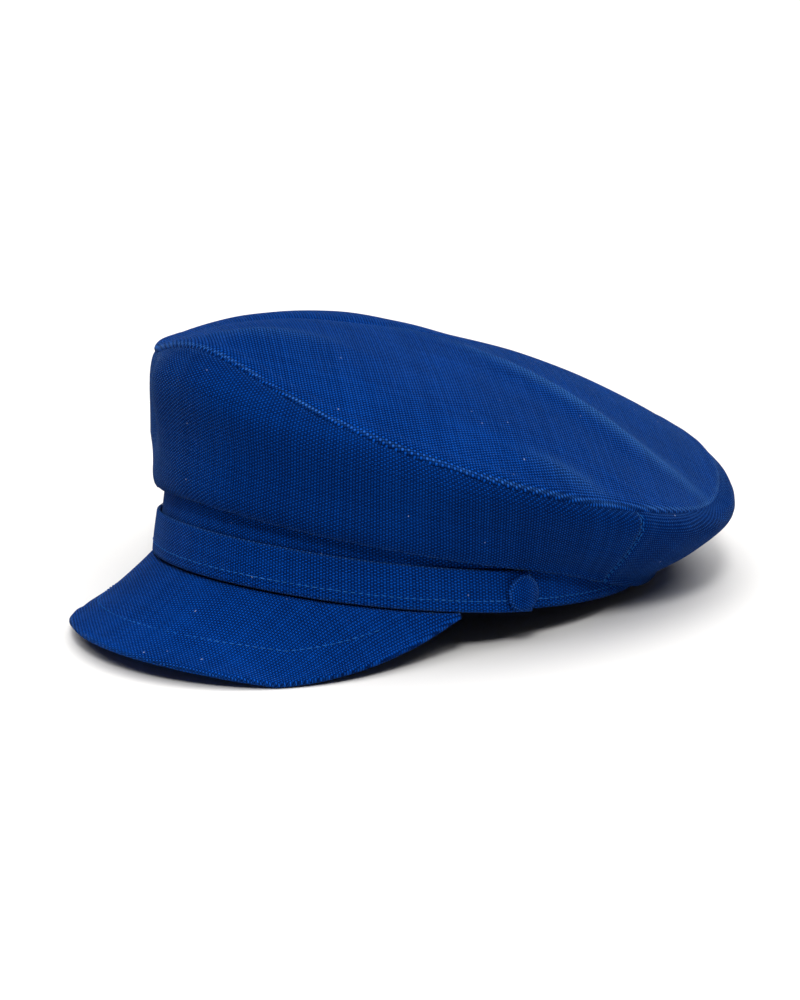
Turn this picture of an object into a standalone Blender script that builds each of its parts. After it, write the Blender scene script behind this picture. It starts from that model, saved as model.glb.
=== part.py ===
# A greek fisherman cap in cobalt canvas, lying as it rests: on the two lobes of its peak and the back of
# its band. Turns go round the head opening from the front (-Y) toward the wearer's left (+X).
# Sizes are in metres and turns in degrees.

import bpy
import bmesh
from math import atan2, cos, degrees, exp, pi, radians, sin, sqrt
from mathutils import Vector

# Head opening and band
openingLength = 0.1966
openingWidth = 0.1550
bandWall = 0.0016
bandHeight = 0.0320
bandLean = 0.0040
rimFrontLift = 0.0270
rimSideLift = 0.0086
rimLean = 0.0024
rimFlattening = 0.0004

# Strap over the front of the band
strapWall = 0.0015
strapHeight = 0.0163
strapEndHeight = 0.0150
strapEndTurn = 83.0

# Covered buttons that hold the strap's ends
buttonDiameter = 0.0130
buttonThickness = 0.0042
buttonTurn = 80.0
buttonRise = 0.0072
buttonFootShare = 0.86
buttonEdgeShare = 0.35

# Peak
peakThickness = 0.0022
peakReach = 0.0384
peakCornerTurn = 66.0
peakRoundness = 0.956
peakFullness = 1.375
peakLobeTurn = 29.5
peakCentreLift = 0.0067
peakLeftSweep = 1.95
peakRightSweep = 1.31
peakLeftCurl = 1.75
peakRightCurl = 3.40

# Crown
crownWall = 0.0013
crownLength = 0.2152
crownWidth = 0.2030
crownSetback = 0.0179
crownLean = -0.0031
crownHeight = 0.1000
crownDome = 0.0196
domeShape = 2.6
apexAcross = -0.09
apexAlong = -0.10
apexRise = 0.756
foldDepth = 0.0030
crownTwist = 13.0
sideSeamTurn = 91.0
lowBellyShare = 0.35
highBellyShare = 0.80
foldFade = 8
waveFade = 1.55
seamLook = 0.97

# Pieces that touch keep this gap, and the crown's front and back this one at the side seams
clearance = 0.0003
sideSeamGap = 0.0006

# Points closer than this become one, and edges bent more than this stay sharp
mergeDistance = 0.00001
sharpestBend = 40.0

# One row a station round the crown, from the front toward the wearer's left. seamRise and foldRise are
# shares of crownHeight, above the floor and above the band's rim. foldReach and the bellies are shares
# of foldDepth.
stationTurn = 30.0
stationColumns = ("seamRise", "foldRise", "foldReach", "lowBelly", "highBelly")
crownStations = (
    (1.047, 0.268, 1.0, 0.7, 2.7),
    (0.866, 0.245, 1.0, 0.3, 1.2),
    (0.661, 0.205, 1.1, 0.4, 0.8),
    (0.488, 0.140, 1.3, 1.2, 1.5),
    (0.361, 0.022, 1.5, 2.6, 3.4),
    (0.398, 0.008, 1.7, 3.2, 3.2),
    (0.441, 0.008, 1.7, 3.2, 3.4),
    (0.475, 0.010, 1.5, 2.8, 3.0),
    (0.608, 0.040, 1.4, 2.2, 2.4),
    (0.747, 0.140, 1.3, 1.2, 1.8),
    (0.842, 0.210, 1.1, 1.0, 0.7),
    (0.937, 0.250, 1.0, 0.0, 0.7),
)

# Soft ridges across the top, from one end to the other. Places are shares of the crown's half sizes from
# its middle, rise is a share of crownDome and spread a share of the half sizes.
topFolds = (
    # fromX fromY toX toY rise spread
    (0.00, 0.16, 0.48, 0.18, 0.08, 0.08),
    (0.48, 0.18, 0.84, 0.42, 0.10, 0.08),
    (0.72, -0.45, 0.96, -0.14, 0.04, 0.06),
    (-0.38, -0.90, -0.05, -0.50, 0.07, 0.08),
    (-0.50, -0.45, -0.20, 0.02, 0.06, 0.14),
)

# Sections and steps of the meshes
columns = 72
peakColumns = 44
peakRows = 5
strapColumns = 40
sectionSteps = (1, 2, 2, 3, 3, 2)
topRings = 9
buttonRings = 5
buttonSteps = 20


def removeEverything():
    for item in list(bpy.data.objects):
        bpy.data.objects.remove(item, do_unlink=True)


def canvas(name, colour, roughness):
    material = bpy.data.materials.new(name)
    material.use_nodes = True
    shader = material.node_tree.nodes["Principled BSDF"]
    shader.inputs["Base Color"].default_value = (*colour, 1.0)
    shader.inputs["Roughness"].default_value = roughness
    shader.inputs["Metallic"].default_value = 0.0
    return material


# A rim section's place in plan, on an oval grown outward from the head opening, and the way out from there.
def ovalPoint(turn, grow):
    angle = radians(turn)
    across = openingWidth / 2
    along = openingLength / 2
    out = Vector((sin(angle) / across, -cos(angle) / along, 0.0)).normalized()
    return Vector((across * sin(angle), -along * cos(angle), 0.0)) + out * grow, out


def rimHeight(turn):
    middle = (rimFrontLift / 2 + rimSideLift) / 2
    arch = (rimFrontLift / 2 - rimSideLift) / 2
    height = middle + rimFrontLift / 2 * cos(radians(turn)) + arch * cos(radians(2 * turn))
    height += rimLean * sin(radians(turn))
    return max(0.0, height - rimFlattening)


# A point so far above the band's rim and out from its inside. The band leans in as it rises.
def bandPoint(turn, rise, grow):
    foot = ovalPoint(turn, grow - bandLean * rise / bandHeight)[0]
    return foot + Vector((0.0, 0.0, rimHeight(turn) + rise))


# A smooth closed curve through one column of the stations.
def station(turn, name):
    column = stationColumns.index(name)
    values = [row[column] for row in crownStations]
    place = (turn % 360.0) / stationTurn
    first = int(place)
    part = place - first
    before, start, end, after = (values[(first + k) % len(values)] for k in (-1, 0, 1, 2))
    slopeIn = (end - before) / 2
    slopeOut = (after - start) / 2
    return (
        start * (2 * part**3 - 3 * part**2 + 1)
        + slopeIn * (part**3 - 2 * part**2 + part)
        + end * (3 * part**2 - 2 * part**3)
        + slopeOut * (part**3 - part**2)
    )


def seamPoint(turn):
    angle = radians(turn)
    return Vector((
        crownLean + crownWidth / 2 * sin(angle),
        crownSetback - crownLength / 2 * cos(angle),
        crownHeight * station(turn, "seamRise"),
    ))


# The seam's height on the tilted plane that lies closest to it, without its waves.
def seamTilt(turn):
    rises = [row[stationColumns.index("seamRise")] for row in crownStations]
    turns = [radians(stationTurn * k) for k in range(len(rises))]
    level = sum(rises) / len(rises)
    along = 2 * sum(rise * cos(angle) for rise, angle in zip(rises, turns)) / len(rises)
    across = 2 * sum(rise * sin(angle) for rise, angle in zip(rises, turns)) / len(rises)
    return crownHeight * (level + along * cos(radians(turn)) + across * sin(radians(turn)))


# How far the soft folds lift the top at a place in plan.
def foldLift(x, y):
    place = Vector(((x - crownLean) / (crownWidth / 2), (y - crownSetback) / (crownLength / 2)))
    lift = 0.0
    for fromX, fromY, toX, toY, rise, spread in topFolds:
        start = Vector((fromX, fromY))
        along = Vector((toX, toY)) - start
        share = min(1.0, max(0.0, (place - start).dot(along) / along.length_squared))
        lift = max(lift, rise * exp(-((place - start - along * share).length / spread) ** 2))
    return crownDome * lift


# A point on the crown's top: share 1 is the seam and share 0 the apex. The seam's waves fade toward the apex.
def topPoint(turn, share):
    seam = seamPoint(turn)
    wave = seam.z - seamTilt(turn)
    seam.z -= wave
    apex = Vector((
        crownLean + apexAcross * crownWidth / 2,
        crownSetback + apexAlong * crownLength / 2,
        crownHeight * apexRise,
    ))
    point = apex.lerp(seam, share)
    point.z += crownDome * (1 - share**domeShape) + wave * share**waveFade
    point.z += foldLift(point.x, point.y) * (1 - share**foldFade)
    return point


# A curve through the given points that doesn't overshoot, with so many steps in each stretch.
def smoothPath(points, steps):
    ends = [points[0] * 2 - points[1], *points, points[-1] * 2 - points[-2]]
    path = [points[0]]
    for k, count in enumerate(steps):
        a, b, c, d = ends[k:k + 4]
        ta = 0.0
        tb = ta + sqrt((b - a).length)
        tc = tb + sqrt((c - b).length)
        td = tc + sqrt((d - c).length)
        for j in range(1, count + 1):
            t = tb + (tc - tb) * j / count
            ab = a.lerp(b, (t - ta) / (tb - ta))
            bc = b.lerp(c, (t - tb) / (tc - tb))
            cd = c.lerp(d, (t - tc) / (td - tc))
            before = ab.lerp(bc, (t - ta) / (tc - ta))
            after = bc.lerp(cd, (t - tb) / (td - tb))
            path.append(before.lerp(after, (t - tb) / (tc - tb)))
    return path


# How far below the top seam the side stops, so that walls meeting at this angle stay clear of each other.
def seamDrop(angle):
    below = (crownWall + clearance + crownWall * max(0.0, cos(angle))) / sin(angle)
    if angle <= pi / 2:
        return below
    beside = (clearance + crownWall * sin(angle)) / -cos(angle)
    return min(below, beside)


# The crown's side at one turn, from its hem on the band, down round the fold and up to the top seam.
def sideSection(turn):
    foot = turn + crownTwist * sin(radians(turn))
    foldRise = crownHeight * station(foot, "foldRise")
    foldReach = foldDepth * station(foot, "foldReach")
    seam = seamPoint(turn)
    out = ovalPoint(foot, 0.0)[1]
    hem = bandPoint(foot, bandHeight, bandWall + clearance)
    inner = bandPoint(foot, foldRise + foldDepth, bandWall + clearance)
    bottom = bandPoint(foot, foldRise, bandWall + clearance + foldReach / 2)
    outer = bandPoint(foot, foldRise + foldDepth, bandWall + clearance + foldReach)
    low = outer.lerp(seam, lowBellyShare) + out * foldDepth * station(turn, "lowBelly")
    high = outer.lerp(seam, highBellyShare) + out * foldDepth * station(turn, "highBelly")
    down = (high - seam).normalized()
    drop = seamDrop(down.angle(topPoint(turn, seamLook) - seam))
    return smoothPath([hem, inner, bottom, outer, low, high, seam + down * drop], sectionSteps)


# Faces between neighbouring sections of equal length, as one open sheet.
def loft(name, sections, closed):
    mesh = bmesh.new()
    rows = [[mesh.verts.new(point) for point in section] for section in sections]
    pairs = list(zip(rows, rows[1:] + rows[:1])) if closed else list(zip(rows, rows[1:]))
    for near, far in pairs:
        for k in range(len(near) - 1):
            mesh.faces.new((near[k], near[k + 1], far[k + 1], far[k]))
    data = bpy.data.meshes.new(name)
    mesh.to_mesh(data)
    mesh.free()
    return bpy.data.objects.new(name, data)


def thicken(item, wall, side):
    shell = item.modifiers.new("Wall", "SOLIDIFY")
    shell.thickness = wall
    shell.offset = side
    shell.use_even_offset = True


def finishPiece(item, material, collection):
    collection.objects.link(item)
    item.data.materials.append(material)
    item.data.shade_smooth()
    item.data.set_sharp_from_angle(angle=radians(sharpestBend))


def turnsBetween(first, last, count):
    return [first + (last - first) * k / count for k in range(count + 1)]


def makeBand():
    sections = []
    for k in range(columns):
        turn = 360.0 * k / columns
        sections.append([bandPoint(turn, bandHeight * share, bandWall) for share in (0.0, 0.5, 1.0)])
    band = loft("band", sections, True)
    thicken(band, bandWall, 1.0)
    return band


def makeStrap():
    sections = []
    for turn in turnsBetween(-strapEndTurn, strapEndTurn, strapColumns):
        height = strapHeight + (strapEndHeight - strapHeight) * (turn / strapEndTurn) ** 2
        outside = bandWall + clearance + strapWall
        sections.append([bandPoint(turn, height * share, outside) for share in (0.0, 0.5, 1.0)])
    strap = loft("strap", sections, False)
    thicken(strap, strapWall, 1.0)
    return strap


# The underside of the peak's outer edge lifts at the middle, lies on the floor at both lobes and rises to
# the corners.
def peakEdgeHeight(turn):
    if abs(turn) < peakLobeTurn:
        return peakCentreLift * (1 - (turn / peakLobeTurn) ** 2)
    corner = peakCornerTurn if turn > 0 else -peakCornerTurn
    curl = peakLeftCurl if turn > 0 else peakRightCurl
    share = (abs(turn) - peakLobeTurn) / (peakCornerTurn - peakLobeTurn)
    return (rimHeight(corner) - clearance - peakThickness) * share**curl


# How quickly the peak drops from the band to its edge, changing evenly between its two lobes.
def peakSweep(turn):
    share = max(-1.0, min(1.0, turn / peakLobeTurn))
    return peakRightSweep + (peakLeftSweep - peakRightSweep) * (1 + share) / 2


def makePeak():
    sections = []
    up = Vector((0.0, 0.0, 1.0))
    bendReach = 2 * clearance + bandWall + strapWall
    for turn in turnsBetween(-peakCornerTurn, peakCornerTurn, peakColumns):
        share = abs(turn) / peakCornerTurn
        reach = clearance + peakReach * max(0.0, cos(pi / 2 * share**peakRoundness)) ** peakFullness
        root, out = ovalPoint(turn, 0.0)
        low = rimHeight(turn) - clearance - peakThickness
        edge = peakEdgeHeight(turn)
        section = [root + up * low, root + out * bendReach + up * low]
        for k in range(1, peakRows + 1):
            part = k / peakRows
            height = edge + (low - edge) * (1 - part) ** peakSweep(turn)
            section.append(root + out * (bendReach + reach * part) + up * height)
        sections.append(section)
    peak = loft("peak", sections, False)
    thicken(peak, peakThickness, 1.0)
    return peak


def makeButton(name, side):
    turn = side * buttonTurn
    seat = bandPoint(turn, buttonRise, bandWall + strapWall + 2 * clearance)
    out = ovalPoint(turn, 0.0)[1]
    profile = bmesh.new()
    points = [Vector((0.0, 0.0, 0.0)), Vector((buttonDiameter / 2 * buttonFootShare, 0.0, 0.0))]
    for k in range(buttonRings):
        angle = pi / 2 * k / (buttonRings - 1)
        height = buttonThickness * (buttonEdgeShare + (1 - buttonEdgeShare) * sin(angle))
        points.append(Vector((buttonDiameter / 2 * cos(angle), 0.0, height)))
    corners = [profile.verts.new(point) for point in points]
    edges = [profile.edges.new(pair) for pair in zip(corners, corners[1:])]
    bmesh.ops.spin(
        profile, geom=corners + edges, axis=(0, 0, 1), cent=(0, 0, 0), dvec=(0, 0, 0), angle=2 * pi,
        steps=buttonSteps,
    )
    bmesh.ops.remove_doubles(profile, verts=profile.verts, dist=mergeDistance)
    bmesh.ops.recalc_face_normals(profile, faces=profile.faces)
    data = bpy.data.meshes.new(name)
    profile.to_mesh(data)
    profile.free()
    button = bpy.data.objects.new(name, data)
    button.location = seat
    button.rotation_euler = (pi / 2 - atan2(bandLean, bandHeight), 0.0, atan2(out.x, -out.y))
    return button


def makeSide(name, first, last):
    gap = degrees(sideSeamGap / crownWidth)
    sections = [sideSection(turn) for turn in turnsBetween(first + gap, last - gap, columns // 2)]
    side = loft(name, sections, False)
    thicken(side, crownWall, 1.0)
    return side


def makeTop():
    sections = []
    for k in range(columns):
        turn = 360.0 * k / columns
        sections.append([topPoint(turn, 1 - ring / topRings) for ring in range(topRings + 1)])
    top = loft("crown_top", sections, True)
    mesh = bmesh.new()
    mesh.from_mesh(top.data)
    bmesh.ops.remove_doubles(mesh, verts=mesh.verts, dist=mergeDistance)
    mesh.to_mesh(top.data)
    mesh.free()
    thicken(top, crownWall, 1.0)
    return top


# Moves the finished pieces so that the middle of their common box stands over the origin.
def centreOnOrigin(collection):
    bpy.context.view_layer.update()
    graph = bpy.context.evaluated_depsgraph_get()
    corners = []
    for item in collection.objects:
        shown = item.evaluated_get(graph)
        corners += [shown.matrix_world @ vertex.co for vertex in shown.data.vertices]
    shift = Vector((
        (min(c.x for c in corners) + max(c.x for c in corners)) / 2,
        (min(c.y for c in corners) + max(c.y for c in corners)) / 2,
        min(c.z for c in corners),
    ))
    for item in collection.objects:
        item.location -= shift


def build():
    removeEverything()
    collection = bpy.data.collections.new("greek_fisherman_cap")
    bpy.context.scene.collection.children.link(collection)
    crownCanvas = canvas("crown_canvas", (0.003, 0.040, 0.270), 0.85)
    trimCanvas = canvas("trim_canvas", (0.002, 0.037, 0.300), 0.80)
    buttonCanvas = canvas("button_canvas", (0.003, 0.036, 0.260), 0.78)
    finishPiece(makeBand(), trimCanvas, collection)
    finishPiece(makeStrap(), trimCanvas, collection)
    finishPiece(makePeak(), trimCanvas, collection)
    finishPiece(makeButton("button_left", 1), buttonCanvas, collection)
    finishPiece(makeButton("button_right", -1), buttonCanvas, collection)
    finishPiece(makeSide("crown_front", -sideSeamTurn, sideSeamTurn), crownCanvas, collection)
    finishPiece(makeSide("crown_back", sideSeamTurn, 360.0 - sideSeamTurn), crownCanvas, collection)
    finishPiece(makeTop(), crownCanvas, collection)
    centreOnOrigin(collection)


build()
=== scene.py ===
import math
import random
import bmesh
import bpy
from mathutils import Matrix, Vector, noise


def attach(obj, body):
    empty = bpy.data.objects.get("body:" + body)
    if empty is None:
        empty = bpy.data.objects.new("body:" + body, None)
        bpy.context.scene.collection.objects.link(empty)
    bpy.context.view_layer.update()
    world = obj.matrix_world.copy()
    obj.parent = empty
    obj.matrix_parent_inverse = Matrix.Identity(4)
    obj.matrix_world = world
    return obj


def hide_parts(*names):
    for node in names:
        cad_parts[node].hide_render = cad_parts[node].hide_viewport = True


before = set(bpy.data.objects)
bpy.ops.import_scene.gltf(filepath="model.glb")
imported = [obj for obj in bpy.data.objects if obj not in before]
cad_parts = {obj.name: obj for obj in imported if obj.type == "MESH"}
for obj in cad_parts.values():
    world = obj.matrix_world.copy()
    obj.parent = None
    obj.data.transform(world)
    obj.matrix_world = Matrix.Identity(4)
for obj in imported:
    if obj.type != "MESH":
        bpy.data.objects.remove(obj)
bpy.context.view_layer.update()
print("frame loaded:", len(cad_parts), "parts")

# the cap as it lies; turns go round the head opening from the peak toward the wearer's left
cap = {
    "middle": Vector((0.002972, 0.004812, 0.000199)),
    "openingLength": 0.1966,
    "openingWidth": 0.1550,
    "bandWall": 0.0016,
    "bandHeight": 0.0320,
    "bandLean": 0.0040,
    "frontLift": 0.0270,
    "sideLift": 0.0086,
    "rimLean": 0.0024,
    "rimFlattening": 0.0004,
    "strapWall": 0.0015,
    "gap": 0.0003,
}


def ovalPoint(turn, grow):
    angle = math.radians(turn)
    across = cap["openingWidth"] / 2
    along = cap["openingLength"] / 2
    out = Vector((math.sin(angle) / across, -math.cos(angle) / along, 0)).normalized()
    return Vector((across * math.sin(angle), -along * math.cos(angle), 0)) + out * grow, out


def rimHeight(turn):
    front = cap["frontLift"]
    side = cap["sideLift"]
    height = (front / 2 + side) / 2 + front / 2 * math.cos(math.radians(turn))
    height += (front / 2 - side) / 2 * math.cos(math.radians(2 * turn))
    height += cap["rimLean"] * math.sin(math.radians(turn))
    return max(0.0, height - cap["rimFlattening"])


def bandPoint(turn, rise, grow):
    foot = ovalPoint(turn, grow - cap["bandLean"] * rise / cap["bandHeight"])[0]
    return foot + Vector((0, 0, rimHeight(turn) + rise))


def roundLength(turn):
    return math.radians(turn) * (cap["openingLength"] + cap["openingWidth"]) / 4


# a place on the cap's round for uneven cloth, the same at 0 and 360 degrees
def roundPlace(turn, height, scale=1.0):
    radius = (cap["openingLength"] + cap["openingWidth"]) / 4 * scale
    angle = math.radians(turn)
    return Vector((radius * math.sin(angle), radius * math.cos(angle), height))


# crown, one row every 30 degrees of turn
crown = {
    "wall": 0.0011,
    "length": 0.2152,
    "width": 0.2030,
    "setback": 0.0179,
    "lean": -0.0031,
    "height": 0.1000,
    "dome": 0.0196,
    "domeShape": 2.6,
    "waveFade": 1.55,
    "apex": (-0.09, -0.10, 0.756),
    # the far front corner is drawn in: turn, depth, spread in degrees
    "tuck": (-42.0, 0.0022, 24.0),
    "foldDepth": 0.0030,
    "twist": 13.0,
    "sideSeam": 91.0,
    "bellyAt": (0.35, 0.80),
    "seamRise": (1.047, 0.866, 0.661, 0.488, 0.361, 0.398, 0.441, 0.475, 0.608, 0.747, 0.842, 0.937),
    "foldRise": (0.268, 0.245, 0.205, 0.140, 0.022, 0.008, 0.008, 0.010, 0.040, 0.140, 0.210, 0.250),
    "foldReach": (1.6, 1.8, 1.8, 1.5, 1.5, 1.7, 1.7, 1.5, 1.4, 1.3, 1.1, 1.0),
    "lowBelly": (0.7, 0.3, 0.4, 1.2, 2.6, 3.2, 3.2, 2.8, 2.2, 1.2, 1.0, 0.0),
    "highBelly": (2.7, 1.2, 0.8, 1.5, 3.4, 3.2, 3.4, 3.0, 2.4, 1.8, 0.7, 0.7),
}


def station(turn, name):
    values = crown[name]
    place = (turn % 360.0) / 30.0
    first = int(place)
    part = place - first
    before, start, end, after = (values[(first + k) % len(values)] for k in (-1, 0, 1, 2))
    smooth = start * (2 * part**3 - 3 * part**2 + 1) + end * (3 * part**2 - 2 * part**3)
    smooth += (end - before) / 2 * (part**3 - 2 * part**2 + part)
    return smooth + (after - start) / 2 * (part**3 - part**2)


def seamPoint(turn):
    angle = math.radians(turn)
    place, depth, spread = crown["tuck"]
    tuck = depth * math.exp(-((((turn - place + 180.0) % 360.0 - 180.0) / spread) ** 2))
    return Vector((
        crown["lean"] + (crown["width"] / 2 - tuck) * math.sin(angle),
        crown["setback"] - (crown["length"] / 2 - tuck) * math.cos(angle),
        crown["height"] * station(turn, "seamRise"),
    ))


# a curve through the points, read at a share of the way along the named stretches
def curveThrough(points, steps):
    ends = [points[0] * 2 - points[1], *points, points[-1] * 2 - points[-2]]
    path = [points[0].copy()]
    for k, count in enumerate(steps):
        a, b, c, d = ends[k:k + 4]
        tb = math.sqrt((b - a).length)
        tc = tb + math.sqrt((c - b).length)
        td = tc + math.sqrt((d - c).length)
        for j in range(1, count + 1):
            t = tb + (tc - tb) * j / count
            ab = a.lerp(b, t / tb)
            bc = b.lerp(c, (t - tb) / (tc - tb))
            cd = c.lerp(d, (t - tc) / (td - tc))
            before = ab.lerp(bc, t / tc)
            after = bc.lerp(cd, (t - tb) / (td - tb))
            path.append(before.lerp(after, (t - tb) / (tc - tb)))
    return path


def rough(place, size, seed=0.0):
    return noise.noise(place / size + Vector((seed, seed * 1.7, seed * 0.3)))


# a grid of faces laid by its two shares of the cloth
# the cloth's own lengths become the UV map, and its wear and painted highlight an attribute
def laySheet(name, across, along, place, lengths, wearAndHighlight=None, joined=False):
    mesh = bmesh.new()
    cloth = mesh.loops.layers.uv.new("cloth")
    rubbedAndLit = mesh.verts.layers.float.new("wearAndHighlight")
    bmesh.ops.create_grid(mesh, x_segments=across, y_segments=along, size=0.5)
    shares = [(vert.co.x + 0.5, vert.co.y + 0.5) for vert in mesh.verts]
    for face in mesh.faces:
        for loop in face.loops:
            loop[cloth].uv = lengths(*shares[loop.vert.index])
    for vert, share in zip(mesh.verts, shares):
        vert.co = place(*share) + cap["middle"]
        vert[rubbedAndLit] = wearAndHighlight(*share) if wearAndHighlight else 0.0
    if joined:
        bmesh.ops.remove_doubles(mesh, verts=mesh.verts, dist=0.000002)
    return meshPiece(name, mesh)


def meshPiece(name, mesh):
    data = bpy.data.meshes.new(name)
    for face in mesh.faces:
        face.smooth = True
    mesh.to_mesh(data)
    mesh.free()
    piece = bpy.data.objects.new(name, data)
    bpy.context.scene.collection.objects.link(piece)
    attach(piece, "root")
    return piece


def giveWall(piece, wall, offset=-1.0):
    shell = piece.modifiers.new("wall", "SOLIDIFY")
    shell.thickness = wall
    shell.offset = offset
    shell.use_even_offset = False


# canvas: plain weave with a heavy warp, and the lint, rubbed wear and painted highlight that lie on it;
# its colour also carries painted shade in the weave's hollows and a painted lit tone on the thread tops
threadLook = {
    "driftScale": (55.0, 71.0),
    "weftWander": 2.2,
    "pickShift": 0.31,
    "warpShape": 0.75,
    "weftShape": 0.9,
    # spread and least value of the height of a thread where it lies on top
    "warpHeight": (0.16, 0.9),
    "weftHeight": (0.14, 0.33),
    "fibreScale": 2600.0,
    "fibreRelief": 0.35,
    "dyeSpread": 0.06,
}
lintLook = {
    "bendScale": 900.0,
    "bend": (0.0011, 0.0011, 0.0011),
    # spread and least value of a speck's size
    "size": (0.05, 0.03),
}


def mathNode(tree, operation, first, second=None, third=None, clamp=False):
    node = tree.nodes.new("ShaderNodeMath")
    node.operation = operation
    node.use_clamp = clamp
    for socket, value in zip(node.inputs, (first, second, third)):
        if value is None:
            continue
        if isinstance(value, (int, float)):
            socket.default_value = value
        else:
            tree.links.new(value, socket)
    return node.outputs[0]


def newGroup(name, inputs, outputs):
    tree = bpy.data.node_groups.new(name, "ShaderNodeTree")
    for label, kind, value in inputs:
        socket = tree.interface.new_socket(label, in_out="INPUT", socket_type=kind)
        if value is not None:
            socket.default_value = value
    for label, kind in outputs:
        tree.interface.new_socket(label, in_out="OUTPUT", socket_type=kind)
    start = tree.nodes.new("NodeGroupInput")
    end = tree.nodes.new("NodeGroupOutput")
    return tree, start, end


def noiseNode(tree, vector, scale, detail=2.0, rough=0.5):
    node = tree.nodes.new("ShaderNodeTexNoise")
    node.inputs["Scale"].default_value = scale
    node.inputs["Detail"].default_value = detail
    node.inputs["Roughness"].default_value = rough
    if vector is not None:
        tree.links.new(vector, node.inputs["Vector"])
    return node.outputs["Fac"]


def buildWeave():
    tree, start, end = newGroup(
        "plain weave",
        [
            ("Cloth", "NodeSocketVector", None),
            ("Place", "NodeSocketVector", None),
            ("Warp pitch", "NodeSocketFloat", 0.00115),
            ("Weft pitch", "NodeSocketFloat", 0.00065),
            ("Grain turn", "NodeSocketFloat", 0.0),
            ("Wander", "NodeSocketFloat", 0.35),
        ],
        [("Height", "NodeSocketFloat"), ("Tone and shade", "NodeSocketFloat")],
    )
    turned = tree.nodes.new("ShaderNodeVectorRotate")
    turned.rotation_type = "Z_AXIS"
    tree.links.new(start.outputs["Cloth"], turned.inputs["Vector"])
    tree.links.new(start.outputs["Grain turn"], turned.inputs["Angle"])
    split = tree.nodes.new("ShaderNodeSeparateXYZ")
    tree.links.new(turned.outputs[0], split.inputs[0])
    alongScale, acrossScale = threadLook["driftScale"]
    slow = mathNode(tree, "SUBTRACT", noiseNode(tree, start.outputs["Place"], alongScale), 0.5)
    driftAcross = noiseNode(tree, start.outputs["Place"], acrossScale, 3.0, 0.6)
    slowAcross = mathNode(tree, "SUBTRACT", driftAcross, 0.5)
    warp = mathNode(tree, "DIVIDE", split.outputs[0], start.outputs["Warp pitch"])
    weft = mathNode(tree, "DIVIDE", split.outputs[1], start.outputs["Weft pitch"])
    warp = mathNode(tree, "MULTIPLY_ADD", slow, start.outputs["Wander"], warp)
    wander = mathNode(tree, "MULTIPLY", start.outputs["Wander"], threadLook["weftWander"])
    weft = mathNode(tree, "MULTIPLY_ADD", slowAcross, wander, weft)
    # each end and pick has its own thickness and dye
    ends = tree.nodes.new("ShaderNodeTexWhiteNoise")
    ends.noise_dimensions = "1D"
    tree.links.new(mathNode(tree, "FLOOR", warp), ends.inputs["W"])
    picks = tree.nodes.new("ShaderNodeTexWhiteNoise")
    picks.noise_dimensions = "1D"
    shifted = mathNode(tree, "ADD", weft, threadLook["pickShift"])
    tree.links.new(mathNode(tree, "ROUND", shifted), picks.inputs["W"])
    crossing = mathNode(
        tree,
        "MULTIPLY",
        mathNode(tree, "SINE", mathNode(tree, "MULTIPLY", warp, math.pi)),
        mathNode(tree, "COSINE", mathNode(tree, "MULTIPLY", weft, math.pi)),
    )
    crossed = mathNode(tree, "MULTIPLY", crossing, -1.0)
    over = mathNode(tree, "POWER", mathNode(tree, "MAXIMUM", crossing, 0.0), threadLook["warpShape"])
    under = mathNode(tree, "POWER", mathNode(tree, "MAXIMUM", crossed, 0.0), threadLook["weftShape"])
    warpHeight = mathNode(tree, "MULTIPLY_ADD", ends.outputs["Value"], *threadLook["warpHeight"])
    weftHeight = mathNode(tree, "MULTIPLY_ADD", picks.outputs["Value"], *threadLook["weftHeight"])
    over = mathNode(tree, "MULTIPLY", over, warpHeight)
    under = mathNode(tree, "MULTIPLY", under, weftHeight)
    height = mathNode(tree, "ADD", over, under)
    fibre = noiseNode(tree, start.outputs["Place"], threadLook["fibreScale"], 2.0, 0.7)
    fibre = mathNode(tree, "SUBTRACT", fibre, 0.5)
    height = mathNode(tree, "MULTIPLY_ADD", fibre, threadLook["fibreRelief"], height)
    # the tone adds each thread's height to its dye, so the colour ramp paints shade into the weave's
    # hollows
    dye = mathNode(tree, "ADD", ends.outputs["Value"], picks.outputs["Value"])
    dye = mathNode(tree, "MULTIPLY_ADD", dye, threadLook["dyeSpread"], -threadLook["dyeSpread"])
    tree.links.new(height, end.inputs["Height"])
    tree.links.new(mathNode(tree, "ADD", height, dye), end.inputs["Tone and shade"])
    return tree


def buildLint():
    tree, start, end = newGroup(
        "lint",
        [
            ("Place", "NodeSocketVector", None),
            ("Spacing", "NodeSocketFloat", 170.0),
            ("Amount", "NodeSocketFloat", 0.30),
        ],
        [("Mask", "NodeSocketFloat")],
    )
    bent = tree.nodes.new("ShaderNodeTexNoise")
    bent.inputs["Scale"].default_value = lintLook["bendScale"]
    tree.links.new(start.outputs["Place"], bent.inputs["Vector"])
    shift = tree.nodes.new("ShaderNodeVectorMath")
    shift.operation = "MULTIPLY_ADD"
    shift.inputs[1].default_value = lintLook["bend"]
    tree.links.new(bent.outputs["Color"], shift.inputs[0])
    tree.links.new(start.outputs["Place"], shift.inputs[2])
    cells = tree.nodes.new("ShaderNodeTexVoronoi")
    tree.links.new(shift.outputs[0], cells.inputs["Vector"])
    tree.links.new(start.outputs["Spacing"], cells.inputs["Scale"])
    chance = tree.nodes.new("ShaderNodeSeparateColor")
    tree.links.new(cells.outputs["Color"], chance.inputs[0])
    chosen = mathNode(tree, "LESS_THAN", chance.outputs[0], start.outputs["Amount"])
    size = mathNode(tree, "MULTIPLY_ADD", chance.outputs[1], *lintLook["size"])
    away = mathNode(tree, "DIVIDE", cells.outputs["Distance"], size)
    near = mathNode(tree, "SUBTRACT", 1.0, away, clamp=True)
    tree.links.new(mathNode(tree, "MULTIPLY", near, chosen), end.inputs["Mask"])
    return tree


weave = buildWeave()
lint = buildLint()

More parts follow.
